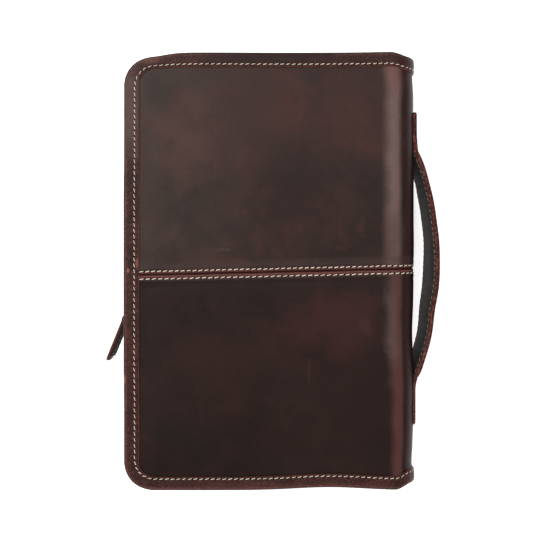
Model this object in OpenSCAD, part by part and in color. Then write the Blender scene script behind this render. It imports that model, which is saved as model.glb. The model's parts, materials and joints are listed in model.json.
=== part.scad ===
// Zip-around leather case with a carry handle on its spine, holding a bound book.
// Frame: +Z up, the closed case lies on its back cover, spine along +X, head of the book along +Y.
// Origin: centre of the back cover, on the plane that it rests on. Millimetres.

/* [Case] */
// Length of the closed case, head to tail
case_l = 254; // [246:1:266]
// Width of the closed case, fore edge to spine
case_w = 171; // [168:1:182]
// Thickness of the closed case
case_t = 48; // [48:1:52]
// Radius of the two cover corners at the fore edge, in plan
corner_r = 18; // [14:1:24]
// Radius of the bend between each cover and the spine
spine_r = 11; // [10:0.5:12]

/* [Leather] */
// Thickness of the edge binding
bind_t = 1.2; // [1:0.1:1.4]
// Width of the edge binding on the cover's face
bind_w = 9; // [8:0.5:11]
// Thickness of the panel leather
panel_t = 1.6; // [1.2:0.1:1.8]
// Width of each turned margin beside the cross seam
seam_w = 4; // [3:0.5:6]
// Height of the turned margins above the panel
seam_h = 1.25; // [0.85:0.1:1.25]
// Angle of the cross seam to the case's short side, in degrees
seam_skew = 1.3; // [0:0.1:2]

/* [Handle] */
// Width of the handle strap
strap_w = 30; // [20:1:34]
// Length of the handle strap, end to end
strap_l = 184.8; // [160:2:200]
// Middle of the strap along the spine, from the middle of the case
strap_y = 1.6; // [-4:0.2:4]
// Length of the bowed grip
grip_l = 132; // [110:2:140]
// Height of the bow above the sewn ends
grip_h = 13.4; // [10:0.2:20]
// Shift of the grip's middle towards the head
grip_y = 4; // [0:1:6]

/* [Zip] */
// Inset of the zip's middle plane from the case's edge
zip_in = 6.15; // [6:0.05:6.5]
// Thickness of the coil chain
chain_t = 2.6; // [2:0.1:2.8]
// Place of the meeting point of the two sliders along the fore edge
zip_meet = -10.6; // [-40:0.2:40]
// Angle of the lower pull from the zip at rest, in degrees
pull_a = 22; // [20:1:40]

/* [Book] */
// Length of the page block
block_l = 216; // [200:1:220]
// Width of the page block
block_w = 134; // [120:1:134]
// Overhang of the boards round the pages
square_w = 3; // [2:0.5:3]

/* [Hidden] */
$fn = 64;
hl = case_l/2;
xo = -case_w/2;                 // fore edge
xs = case_w/2;                  // spine
xf = xs - spine_r;              // where the covers begin to bend
g = 0.05;                       // gap between layers
xb = 70;                        // spine face of the page block
mid = 0.3;                      // half the gap between the two coils of the zip

cowhide = [0.20, 0.11, 0.09];
edge_hide = [0.27, 0.13, 0.10];
cloth = [0.10, 0.09, 0.09];
metal = [0.42, 0.33, 0.20];
boardc = [0.55, 0.47, 0.36];

// ---- plan outlines ----
// Cover outline at an inset from the edge, rounded at the fore edge, ending at x1.
module outline(off, x1) {
  r = corner_r - off;
  translate([xo + corner_r, -(hl - off)]) square([x1 - xo - corner_r, 2*(hl - off)]);
  translate([xo + off, -(hl - corner_r)]) square([corner_r - off + 0.5, 2*(hl - corner_r)]);
  for (s = [-1, 1]) translate([xo + corner_r, s*(hl - corner_r)]) circle(r);
}
module ring2(a, b, x1) { difference() { outline(a, x1); outline(b, x1 + 10); } }
// A slab of a cover. d0, d1 are depths below the cover's outer face.
module slab(d0, d1, back) { translate([0, 0, back ? d0 : case_t - d1]) linear_extrude(d1 - d0) children(); }
module ring(a, b, d0, d1, x1, back) { slab(d0, d1, back) ring2(a, b, x1); }

// ---- section of the spine, in X and Z, drawn as X and Y ----
// Ring sector of the bend, outer face at depth d, from angle a0 to a1 below the X axis.
module bend2(d, t, a0, a1) {
  r = spine_r - d;
  intersection() {
    difference() { circle(r); circle(r - t); }
    polygon([[0, 0], [40*cos(a0), 40*sin(a0)], [40*cos((a0 + a1)/2), 40*sin((a0 + a1)/2)], [40*cos(a1), 40*sin(a1)]]);
  }
}
// Extrudes an X-Z section along Y from y0 to y1.
module along_y(y0, y1) { translate([0, y1, 0]) rotate([90, 0, 0]) linear_extrude(y1 - y0) children(); }
// A cover's half of one bend.
module cover_bend2(d, t, back) {
  if (back) translate([xf, spine_r]) bend2(d, t, -90, -45.9);
  else translate([xf, case_t - spine_r]) bend2(d, t, 45.9, 90);
}
// The spine's section: two half bends and the straight face between them.
module spine2(d, t) {
  translate([xf, spine_r]) bend2(d, t, -44.1, 0);
  translate([xf, case_t - spine_r]) bend2(d, t, 0, 44.1);
  translate([xs - d - t, spine_r - 0.01]) square([t, case_t - 2*spine_r + 0.02]);
}
// Half space on one side of the cross seam. s is 1 for the head side.
module seam_side(s) { rotate([0, 0, seam_skew]) translate([-200, s > 0 ? -1 + g/2 : -1 - 300 - g/2, -10]) cube([400, 300, case_t + 20]); }
// The turned margin beside the cross seam.
module seam_strip(s) { rotate([0, 0, seam_skew]) translate([-200, s > 0 ? -1 + 0.35 : -1 - 0.35 - seam_w, -10]) cube([400, seam_w, case_t + 20]); }

// ---- outer shell ----
module panel(s, back) {
  d0 = bind_t + g;
  intersection() {
    union() {
      slab(d0, d0 + panel_t, back) outline(d0, xf);
      along_y(-hl + d0, hl - d0) cover_bend2(d0, panel_t, back);
    }
    seam_side(s);
  }
  intersection() {
    union() {
      slab(d0 - seam_h, d0 + 0.2, back) translate([xo + bind_w + 0.3, -20]) square([xf - xo - bind_w - 0.3, 40]);
      along_y(-20, 20) cover_bend2(d0 - seam_h, seam_h + 0.2, back);
    }
    seam_strip(s);
  }
}
module spine_panel(s) {
  d0 = bind_t + g;
  intersection() { along_y(-hl + d0, hl - d0) spine2(d0, panel_t); seam_side(s); }
  intersection() { along_y(-20, 20) spine2(d0 - seam_h, seam_h + 0.2); seam_strip(s); }
}
module binding(back) {
  ring(0, bind_w, 0, bind_t, xf, back);
  ring(0, bind_t, bind_t - 0.1, 5.6, xf, back);
  ring(0, 4.2, 4.62, 5.6, xf, back);
  for (s = [-1, 1]) along_y(s > 0 ? hl - bind_w : -hl, s > 0 ? hl : -hl + bind_w) cover_bend2(0, bind_t, back);
}
module spine_binding_shape() {
  for (s = [-1, 1]) along_y(s > 0 ? hl - bind_w : -hl, s > 0 ? hl : -hl + bind_w) spine2(0, bind_t);
  for (s = [-1, 1]) along_y(s > 0 ? hl - bind_t : -hl, s > 0 ? hl : -hl + bind_t) spine2(bind_t - 0.05, 4.0);
}
module stiff(back) { slab(2.9, 3.7, back) outline(bind_t + g, xf - 2); }
module lining(back) { slab(3.75, 4.55, back) outline(bind_t + g, xf); }
module spine_stiff() { along_y(-hl + 3, hl - 3) translate([xs - 3.7, spine_r + 1]) square([0.8, case_t - 2*spine_r - 2]); }
module spine_liner() { along_y(-hl + 3, hl - 3) translate([xs - 4.55, spine_r]) square([0.8, case_t - 2*spine_r]); }

// ---- sleeves inside the covers, open towards the spine ----
module sleeve_front() {
  slab(4.6, 5.4, false) intersection() { outline(9.2, 0); translate([-200, -200]) square([200, 400]); }
}
module sleeve_back() {
  slab(6.45, 7.05, true) outline(9.2, 0);
  ring(9.2, 10.2, 4.6, 6.5, 0, true);
}

// ---- zip wall ----
module gusset(back) { ring(4.4, 5.8, 4.6, 14, xf - 2, back); }
module tape(back) { ring(zip_in - 0.3, zip_in + 0.3, 8, 21, xf - 2, back); }
module chain(back) { ring(zip_in - chain_t/2, zip_in + chain_t/2, 21 + g, case_t/2 - mid, xf - 8, back); }
module stops(back) {
  for (s = [-1, 1]) translate([xf - 7.9, s*(hl - zip_in) - 1.6, back ? 20.6 + 0.5 : case_t/2 + g]) cube([3, 3.2, case_t/2 - 21.1 - g]);
}
// Slider plates. The nose, at y = 0, meets the other slider; the tail points along -Y.
module slider2() { polygon([[-4.9, 0], [-4.9, -4.5], [-3.6, -11], [3.6, -11], [4.9, -4.5], [4.9, 0]]); }
module slider() {
  zc = case_t/2;
  x1 = xo + zip_in - chain_t/2 - 0.6;
  translate([x1, 0, zc]) rotate([0, -90, 0]) linear_extrude(1.3) slider2();
  translate([xo + zip_in + chain_t/2 + 1.3, 0, zc]) rotate([0, -90, 0]) linear_extrude(1) slider2();
  // Divider between the two plates, in the gap of the chain
  translate([x1 - 0.2, -3.4, zc - 0.2]) cube([xo + zip_in + chain_t/2 + 0.5 - x1 + 0.2, 2.6, 0.4]);
  // Bridge over the outer plate that holds the pull
  for (y = [-1.5, -9.5]) translate([x1 - 2.9, y - 0.6, zc - 1.4]) cube([1.7, 1.2, 2.8]);
  translate([x1 - 3.9, -10.1, zc - 1.4]) cube([1.1, 9.2, 2.8]);
}
px = xo + zip_in - chain_t/2 - 0.6 - 2.1;   // axis of the pull
py = 7.6;                                   // its distance behind the slider's nose
// Wire ring through the bridge, pointing along -Y from the origin.
module pull_ring() {
  for (z = [-1, 1]) translate([0, -11, z*2.7]) rotate([-90, 0, 0]) cylinder(r = 0.55, h = 11);
  for (y = [0, -11]) translate([0, y, -3.25]) cylinder(r = 0.55, h = 6.5);
}
// Outline of the tab in Y and Z, drawn as X and Y.
module tab2() {
  translate([-36.5, -7]) square([25.5, 14]);
  translate([-39, -4.5]) square([3, 9]);
  for (z = [-1, 1]) translate([-36.5, z*4.5]) circle(2.5);
}
// Leather tab looped over the ring.
module pull_tab() {
  difference() {
    union() {
      translate([0, -11, -7]) cylinder(r = 1.9, h = 14);
      translate([-1.5, 0, 0]) rotate([90, 0, 90]) linear_extrude(1.7) tab2();
    }
    translate([0, -11, -8]) cylinder(r = 0.62, h = 16);
    for (z = [-1, 1]) translate([-2.2, -12, z > 0 ? 1.9 : -3.5]) cube([4.4, 6, 1.6]);
  }
}
module pull_lining() { translate([0.25, 0, 0]) rotate([90, 0, 90]) linear_extrude(1.2) intersection() { tab2(); translate([-50, -10]) square([36.5, 20]); } }
module at_lower() { translate([px, zip_meet - py, case_t/2]) rotate([0, 0, -pull_a]) children(); }
module at_upper() { translate([px, zip_meet + 0.4 + py, case_t/2]) rotate([0, 0, 3]) mirror([0, 1, 0]) children(); }

// ---- handle ----
function bow(y) = let (s = min(1, abs(y - grip_y)/(grip_l/2))) grip_h*(1 - pow(s, 2.2));
strap_n = 46;
module strap(u0, u1) {
  x0 = xs - bind_t + g;
  translate([0, 0, case_t/2 - strap_w/2]) linear_extrude(strap_w)
    polygon(concat([for (i = [0:strap_n]) let (y = strap_y - strap_l/2 + strap_l*i/strap_n) [x0 + u0 + bow(y), y]],
                   [for (i = [strap_n:-1:0]) let (y = strap_y - strap_l/2 + strap_l*i/strap_n) [x0 + u1 + bow(y), y]]));
}

// ---- book ----
bz0 = 4.7; bz1 = case_t - 5.6;  // outer faces of the book
bh = (bz1 - bz0)/2;
br = (bh*bh + 5.5*5.5)/11;      // radius of its rounded spine
module book_cover(z) { translate([xb - block_w - square_w, -block_l/2 - square_w, z]) cube([block_w + square_w - 0.5, block_l + 2*square_w, 1.5]); }
module book_spine_shape() {
  along_y(-block_l/2 - square_w, block_l/2 + square_w) intersection() {
    translate([xb + 1.5 + 5.5 - br, bz0 + bh]) difference() { circle(br, $fn = 128); circle(br - 1.5, $fn = 128); }
    translate([xb + 0.2, bz0]) square([20, 2*bh]);
  }
}

module back_upper_panel() { color(cowhide) panel(1, true); }
module back_lower_panel() { color(cowhide) panel(-1, true); }
module front_upper_panel() { color(cowhide) panel(1, false); }
module front_lower_panel() { color(cowhide) panel(-1, false); }
module spine_upper_panel() { color(cowhide) spine_panel(1); }
module spine_lower_panel() { color(cowhide) spine_panel(-1); }
module back_binding() { color(edge_hide) binding(true); }
module front_binding() { color(edge_hide) binding(false); }
module spine_binding() { color(edge_hide) spine_binding_shape(); }
module back_board() { color(boardc) stiff(true); }
module front_board() { color(boardc) stiff(false); }
module spine_board() { color(boardc) spine_stiff(); }
module back_lining() { color(cloth) lining(true); }
module front_lining() { color(cloth) lining(false); }
module spine_lining() { color(cloth) spine_liner(); }
module back_sleeve() { color(cowhide) sleeve_back(); }
module front_sleeve() { color(cowhide) sleeve_front(); }
module back_gusset() { color(cowhide) gusset(true); }
module front_gusset() { color(cowhide) gusset(false); }
module back_zip_tape() { color(cloth) tape(true); }
module front_zip_tape() { color(cloth) tape(false); }
module back_zip_chain() { color(metal) chain(true); }
module front_zip_chain() { color(metal) chain(false); }
module back_zip_stops() { color(metal) stops(true); }
module front_zip_stops() { color(metal) stops(false); }
module handle_strap() { color(edge_hide) strap(1.4 + g, 3.2); }
module handle_lining() { color(cloth) strap(0, 1.4); }
module lower_slider() { color(metal) translate([0, zip_meet, 0]) slider(); }
module lower_pull_ring() { color(metal) at_lower() pull_ring(); }
module lower_pull_tab() { color(edge_hide) at_lower() pull_tab(); }
module lower_pull_lining() { color(cloth) at_lower() pull_lining(); }
module upper_slider() { color(metal) translate([0, zip_meet + 0.4, 0]) mirror([0, 1, 0]) slider(); }
module upper_pull_ring() { color(metal) at_upper() pull_ring(); }
module upper_pull_tab() { color(edge_hide) at_upper() pull_tab(); }
module upper_pull_lining() { color(cloth) at_upper() pull_lining(); }
module book_back_cover() { color([0.07, 0.06, 0.06]) book_cover(bz0); }
module book_front_cover() { color([0.07, 0.06, 0.06]) book_cover(bz1 - 1.5); }
module book_spine() { color([0.07, 0.06, 0.06]) book_spine_shape(); }
module book_spine_mull() { color([0.85, 0.82, 0.74]) translate([xb + g, -block_l/2 + 8, 9]) cube([0.6, block_l - 16, 24]); }
module book_headbands() { color([0.75, 0.65, 0.40]) for (s = [-1, 1]) translate([xb + 1.3, s*(block_l/2 - 1), 11]) cylinder(r = 1.1, h = 20); }
module book_pages() { color([0.93, 0.89, 0.78]) translate([xb - block_w, -block_l/2, 7.15]) cube([block_w, block_l, case_t - 13.5 - 7.15]); }
module book_front_leaves() { color([0.93, 0.89, 0.78]) translate([xb - block_w, -block_l/2, case_t - 12.9]) cube([block_w, block_l, 5.5]); }
module book_ribbon() {
  color([0.45, 0.05, 0.07]) {
    translate([16, -block_l/2 - 0.9, case_t - 13.4]) cube([10, block_l, 0.35]);
    translate([16, -block_l/2 - 0.9, 14]) cube([10, 0.45, case_t - 13.4 + 0.35 - 14]);
  }
}

back_upper_panel();
back_lower_panel();
back_binding();
back_board();
back_lining();
back_sleeve();
back_gusset();
back_zip_tape();
back_zip_chain();
back_zip_stops();
front_upper_panel();
front_lower_panel();
front_binding();
front_board();
front_lining();
front_sleeve();
front_gusset();
front_zip_tape();
front_zip_chain();
front_zip_stops();
spine_upper_panel();
spine_lower_panel();
spine_binding();
spine_board();
spine_lining();
handle_strap();
handle_lining();
lower_slider();
lower_pull_ring();
lower_pull_tab();
lower_pull_lining();
upper_slider();
upper_pull_ring();
upper_pull_tab();
upper_pull_lining();
book_back_cover();
book_spine();
book_spine_mull();
book_headbands();
book_pages();
book_ribbon();
book_front_cover();
book_front_leaves();
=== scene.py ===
import bpy, bmesh, math, random, json
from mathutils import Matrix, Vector


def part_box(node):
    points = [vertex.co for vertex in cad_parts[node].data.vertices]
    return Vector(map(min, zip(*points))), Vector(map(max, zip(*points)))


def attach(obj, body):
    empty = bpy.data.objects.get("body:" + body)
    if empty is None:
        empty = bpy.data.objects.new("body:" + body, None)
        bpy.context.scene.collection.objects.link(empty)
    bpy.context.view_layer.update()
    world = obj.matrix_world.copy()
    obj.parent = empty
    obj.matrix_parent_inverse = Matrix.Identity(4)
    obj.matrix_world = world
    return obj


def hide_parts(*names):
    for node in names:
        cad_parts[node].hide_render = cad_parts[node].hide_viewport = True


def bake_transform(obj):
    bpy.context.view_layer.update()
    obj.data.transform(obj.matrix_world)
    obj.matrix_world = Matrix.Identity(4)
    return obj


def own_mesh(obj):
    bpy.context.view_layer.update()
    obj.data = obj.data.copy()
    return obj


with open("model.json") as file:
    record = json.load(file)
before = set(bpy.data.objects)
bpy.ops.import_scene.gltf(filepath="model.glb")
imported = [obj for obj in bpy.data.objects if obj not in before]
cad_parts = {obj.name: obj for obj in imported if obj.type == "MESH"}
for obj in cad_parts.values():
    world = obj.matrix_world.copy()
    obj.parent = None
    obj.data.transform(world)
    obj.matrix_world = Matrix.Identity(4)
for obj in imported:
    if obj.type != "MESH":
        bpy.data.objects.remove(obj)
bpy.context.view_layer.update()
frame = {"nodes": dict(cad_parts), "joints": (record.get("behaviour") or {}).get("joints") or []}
NODE = frame["nodes"]
MM = 0.001
PIVOT = {"lower": None, "upper": None}         # axes of the two zip pulls (mm)
for j in frame["joints"]:
    if j["name"] in ("lower_pull_swing", "upper_pull_swing"):
        PIVOT[j["name"][:5]] = [v * 1000 for v in j["pos_m"]]
TAB_END = -38.6                                # tip of a pull's leather, from its axis

# ---------------------------------------------------------------- sizes, read from the solids (mm)
def bx(n):
    lo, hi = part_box(n)
    return [v * 1000 for v in lo], [v * 1000 for v in hi]
XO = bx("front_binding")[0][0]
HL = bx("front_binding")[1][1]
T = bx("front_binding")[1][2]
XS = bx("spine_binding")[1][0]
ZC = T / 2
RC = 18.0                     # plan corner radius
RB = 15.0                     # how the hide rounds between a cover and the spine
XF = XS - RB
BW = 9.0                      # binding width
C1 = Vector((XS - 2.35, 0, 2.35)) * MM
SKEW = math.radians(1.33)

def warp(v):
    """The worn shell is not quite square: head corner eased down, tail edge drawn in, fore edge full."""
    x, y, z = v
    e = sstep2((abs(y) - 60) / 60)
    if y > 0:
        dy = -1.3 * math.exp(-((x - XO) / 26) ** 2) + 0.25 * math.exp(-((x - 72) / 16) ** 2) - 0.35 * math.exp(-((x - 10) / 50) ** 2)
        dy -= 1.7 * math.exp(-((x + 69) / 10) ** 2) * sstep2((y - 117.5) / 8) + 0.7 * math.exp(-((x + 83) / 7) ** 2) + 1.8 * sstep2((x - 69) / 11)
    else:
        dy = 1.75 * math.exp(-((x - 34) / 28) ** 2) - 0.9 * math.exp(-((x + 84) / 8) ** 2) + 2.8 * sstep2((x - 72) / 10)
    y += dy * e
    if x > 60:
        k = min(1, (x - 60) / 20)
        x -= 0.75 * k * sstep2((-y - 70) / 18) * sstep2((122 + y) / 10) + 0.25 * k * sstep2((y - 60) / 30)
        x += k * (0.45 * math.exp(-((y + 88) / 9) ** 2) - 0.85 * math.exp(-((y + 36) / 15) ** 2) + 0.2 * math.exp(-((y - 18) / 13) ** 2))
    if x < -40:
        x += 0.25 * sstep2((abs(y + 5) - 45) / 30) * min(1, (-40 - x) / 20)
    return (x, y, z)
def sstep2(x):
    x = max(0.0, min(1.0, x)); return x * x * (3 - 2 * x)

# ---------------------------------------------------------------- mesh helpers
def mk(name, verts, faces, mat, smooth=True, attrs=None, mats=None, midx=None, soft=False):
    """verts in mm. attrs: name -> one float per vertex. Also stores the rest position as rp."""
    if soft: verts = [warp(v) for v in verts]
    me = bpy.data.meshes.new(name)
    me.from_pydata([(v[0] * MM, v[1] * MM, v[2] * MM) for v in verts], [], faces)
    a = me.attributes.new("rp", "FLOAT_VECTOR", "POINT")
    a.data.foreach_set("vector", [c * MM for v in verts for c in v])
    for k, vals in (attrs or {}).items():
        b = me.attributes.new(k, "FLOAT", "POINT")
        b.data.foreach_set("value", vals)
    for m in (mats or [mat]):
        me.materials.append(m)
    if midx:
        me.polygons.foreach_set("material_index", midx)
    if smooth:
        me.polygons.foreach_set("use_smooth", [True] * len(me.polygons))
    me.update()
    o = bpy.data.objects.new(name, me)
    bpy.context.scene.collection.objects.link(o)
    return o

def close(o):
    """Turns the faces of a closed shell outwards."""
    b = bmesh.new(); b.from_mesh(o.data)
    bmesh.ops.recalc_face_normals(b, faces=b.faces)
    b.to_mesh(o.data); b.free(); o.data.update()
    return o

def grid_faces(nu, nv, closed_v=False, base=0, flip=False):
    f = []
    for i in range(nu - 1):
        for j in range(nv if closed_v else nv - 1):
            a, b = base + i * nv + j, base + i * nv + (j + 1) % nv
            c, d = base + (i + 1) * nv + (j + 1) % nv, base + (i + 1) * nv + j
            f.append((a, d, c, b) if flip else (a, b, c, d))
    return f

def sstep(x):
    x = max(0.0, min(1.0, x))
    return x * x * (3 - 2 * x)

def wob(x, y=0.0, k=0):
    """A smooth, repeatable wobble of about +-1."""
    return (math.sin(x * 0.071 + 1.3 * k + y * 0.043) + 0.6 * math.sin(x * 0.163 - y * 0.117 + 2.1 * k + 0.7) + 0.4 * math.sin(x * 0.31 + y * 0.29 + 4.2 * k)) / 2.0

# ---------------------------------------------------------------- materials
def new_mat(name):
    m = bpy.data.materials.new(name)
    m.use_nodes = True
    nt = m.node_tree
    bs = nt.nodes["Principled BSDF"]
    return m, nt, bs

def coords(nt, src):
    if src == "rp":
        n = nt.nodes.new("ShaderNodeAttribute"); n.attribute_name = "rp"
        return n.outputs["Vector"]
    n = nt.nodes.new("ShaderNodeTexCoord")
    return n.outputs["Object"]

def N(nt, kind, **kw):
    n = nt.nodes.new(kind)
    for k, v in kw.items():
        if k in n.inputs.keys():
            n.inputs[k].default_value = v
        else:
            setattr(n, k, v)
    return n

def noise(nt, vec, scale, detail=4, rough=0.55, stretch=None, distortion=0.0):
    if stretch:
        mp = nt.nodes.new("ShaderNodeMapping"); mp.inputs["Scale"].default_value = stretch[0]
        mp.inputs["Rotation"].default_value = stretch[1]
        nt.links.new(vec, mp.inputs["Vector"]); vec = mp.outputs["Vector"]
    n = nt.nodes.new("ShaderNodeTexNoise")
    n.inputs["Scale"].default_value = scale; n.inputs["Detail"].default_value = detail
    n.inputs["Roughness"].default_value = rough; n.inputs["Distortion"].default_value = distortion
    nt.links.new(vec, n.inputs["Vector"])
    return n.outputs["Fac"]

def ramp(nt, fac, stops):
    r = nt.nodes.new("ShaderNodeValToRGB")
    els = r.color_ramp.elements
    while len(els) < len(stops):
        els.new(0.5)
    for e, (p, c) in zip(els, stops):
        e.position = p; e.color = (*c, 1) if len(c) == 3 else c
    nt.links.new(fac, r.inputs["Fac"])
    return r.outputs["Color"]

def rng(nt, fac, a, b, c=0.0, d=1.0, soft=False):
    m = nt.nodes.new("ShaderNodeMapRange")
    if soft: m.interpolation_type = "SMOOTHSTEP"
    m.inputs["From Min"].default_value = a; m.inputs["From Max"].default_value = b
    m.inputs["To Min"].default_value = c; m.inputs["To Max"].default_value = d
    m.clamp = True
    nt.links.new(fac, m.inputs["Value"])
    return m.outputs["Result"]

def math2(nt, op, a, b):
    m = nt.nodes.new("ShaderNodeMath"); m.operation = op
    for s, v in ((0, a), (1, b)):
        if isinstance(v, (int, float)): m.inputs[s].default_value = v
        else: nt.links.new(v, m.inputs[s])
    return m.outputs[0]

def mix(nt, fac, a, b, mode="MIX"):
    m = nt.nodes.new("ShaderNodeMix"); m.data_type = "RGBA"; m.blend_type = mode
    ins = [i for i in m.inputs if i.enabled] if False else m.inputs
    f, A, B = m.inputs[0], m.inputs[6], m.inputs[7]
    if isinstance(fac, (int, float)): f.default_value = fac
    else: nt.links.new(fac, f)
    for s, v in ((A, a), (B, b)):
        if isinstance(v, tuple): s.default_value = (*v, 1) if len(v) == 3 else v
        else: nt.links.new(v, s)
    return m.outputs[2]

def bump(nt, bs, height, dist, strength=1.0, prev=None):
    b = nt.nodes.new("ShaderNodeBump")
    b.inputs["Distance"].default_value = dist; b.inputs["Strength"].default_value = strength
    nt.links.new(height, b.inputs["Height"])
    if prev is not None: nt.links.new(prev, b.inputs["Normal"])
    nt.links.new(b.outputs["Normal"], bs.inputs["Normal"])
    return b.outputs["Normal"]

def srgb(r, g, b):
    f = lambda c: (c / 255) / 12.92 if c / 255 <= 0.04045 else ((c / 255 + 0.055) / 1.055) ** 2.4
    return (f(r), f(g), f(b))

def leather(name, c_dark, c_mid, c_red, src="rp", rough=(0.42, 0.6), grain=0.00006, seed=0.0, spec=0.5, zones=(), scuff=0.35, low=None, speck=0.0, spots=(), light=None):
    """Oiled hide: clouded colour, reddish pull-up, fine pores and creases, faint scratches.
    zones: (attribute, from, to, softness, colour, strength) paints bands along an attribute in mm.
    spots: (centre, half sizes, colour, strength), rubbed marks, colour patches and painted highlights, in mm."""
    m, nt, bs = new_mat(name)
    v0 = coords(nt, src)
    off = nt.nodes.new("ShaderNodeVectorMath"); off.operation = "ADD"; off.inputs[1].default_value = (seed, seed * 0.7, seed * 1.3)
    nt.links.new(v0, off.inputs[0]); v = off.outputs[0]
    big = noise(nt, v, 16, 3, 0.55, distortion=0.4)
    med = noise(nt, v, 85, 5, 0.6)
    fine = noise(nt, v, 900, 3, 0.6)
    cloud = noise(nt, v, 34, 5, 0.62, distortion=0.9)
    streak = noise(nt, v, 30, 4, 0.6, stretch=((1, 0.28, 1), (0, 0, 0.05)))
    col = ramp(nt, big, [(0.38, c_dark), (0.60, c_mid)])
    col = mix(nt, rng(nt, cloud, 0.50, 0.66, 0, 0.55), col, c_red)
    col = mix(nt, rng(nt, streak, 0.50, 0.68, 0, 0.5), col, c_dark)
    col = mix(nt, rng(nt, med, 0.54, 0.74, 0, 0.45), col, c_red)
    sep = nt.nodes.new("ShaderNodeSeparateXYZ"); nt.links.new(v0, sep.inputs[0])
    if low:
        # painted shade: darker towards the tail side, where less light falls
        col = mix(nt, rng(nt, sep.outputs["Y"], low[0], low[1], low[2], 0.0), col, low[3])
    if light:
        # painted highlight: a paler sheen towards the fore edge of the head half
        k = math2(nt, "MULTIPLY", rng(nt, sep.outputs["X"], -0.075, 0.01, 1, 0), rng(nt, sep.outputs["Y"], -0.001, 0.006, 0, 1))
        k = math2(nt, "MULTIPLY", k, rng(nt, cloud, 0.3, 0.6, 0.5, 1))
        col = mix(nt, math2(nt, "MULTIPLY", k, light[1]), col, light[0])
    col = mix(nt, rng(nt, fine, 0.35, 0.65, 0.0, 0.28), col, c_dark)
    for (attr, a, b, w, c, k) in zones:
        w1, w2 = w if isinstance(w, tuple) else (w, w)
        at = nt.nodes.new("ShaderNodeAttribute"); at.attribute_name = attr
        z = math2(nt, "MULTIPLY", rng(nt, at.outputs["Fac"], a - w1, a, 0, 1, soft=True), rng(nt, at.outputs["Fac"], b, b + w2, 1, 0, soft=True))
        z = math2(nt, "MULTIPLY", z, rng(nt, med, 0.25, 0.6, k * 0.6, k))
        col = mix(nt, z, col, c)
    if speck:
        # pebbled top grain: dark pits and paler tops
        pit = noise(nt, v, 1150, 2, 0.5)
        col = mix(nt, rng(nt, pit, 0.40, 0.58, speck, 0), col, tuple(x * 0.25 for x in c_dark))
        col = mix(nt, rng(nt, pit, 0.56, 0.70, 0, speck * 0.8), col, tuple(min(1, x * 1.7) for x in c_red))
    # scratches: thin, stretched, sparse
    sc1 = noise(nt, v, 60, 4, 0.7, stretch=((1, 14, 1), (0, 0, 0.5)))
    sc2 = noise(nt, v, 45, 4, 0.7, stretch=((16, 1, 1), (0, 0, -0.35)))
    scr = math2(nt, "MAXIMUM", rng(nt, sc1, 0.66, 0.74, 0, 1), rng(nt, sc2, 0.68, 0.76, 0, 1))
    col = mix(nt, math2(nt, "MULTIPLY", scr, scuff), col, c_red)
    for (c0, hs, c, k) in spots:
        d = nt.nodes.new("ShaderNodeVectorMath"); d.operation = "SUBTRACT"; d.inputs[1].default_value = tuple(q * MM for q in c0)
        nt.links.new(v0, d.inputs[0])
        e = nt.nodes.new("ShaderNodeVectorMath"); e.operation = "DIVIDE"; e.inputs[1].default_value = tuple(q * MM for q in hs)
        nt.links.new(d.outputs[0], e.inputs[0])
        f = nt.nodes.new("ShaderNodeVectorMath"); f.operation = "LENGTH"; nt.links.new(e.outputs[0], f.inputs[0])
        wide = max(hs) > 12
        g = math2(nt, "ADD", f.outputs["Value"], rng(nt, noise(nt, v, 48 if wide else 420, 5, 0.65), 0.3, 0.7, -0.45, 0.45))
        col = mix(nt, rng(nt, g, 0.1 if wide else 0.5, 1.25 if wide else 1.0, k * (1.2 if wide else 1), 0, soft=wide), col, c)
    nt.links.new(col, bs.inputs["Base Color"])
    r = rng(nt, math2(nt, "ADD", math2(nt, "MULTIPLY", big, 0.5), math2(nt, "MULTIPLY", med, 0.5)), 0.3, 0.7, rough[0], rough[1])
    nt.links.new(r, bs.inputs["Roughness"])
    bs.inputs["Specular IOR Level"].default_value = spec
    vo = nt.nodes.new("ShaderNodeTexVoronoi"); vo.feature = "DISTANCE_TO_EDGE"
    vo.inputs["Scale"].default_value = 1050; nt.links.new(v, vo.inputs["Vector"])
    pores = rng(nt, vo.outputs["Distance"], 0.0, 0.16, 0, 1)
    h = math2(nt, "ADD", math2(nt, "MULTIPLY", pores, 0.5), math2(nt, "MULTIPLY", fine, 0.9))
    n1 = bump(nt, bs, h, grain, 0.9)
    n2 = bump(nt, bs, med, 0.0005, 0.35, n1)
    n3 = bump(nt, bs, scr, -0.00006, 0.6, n2)
    return m

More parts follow.
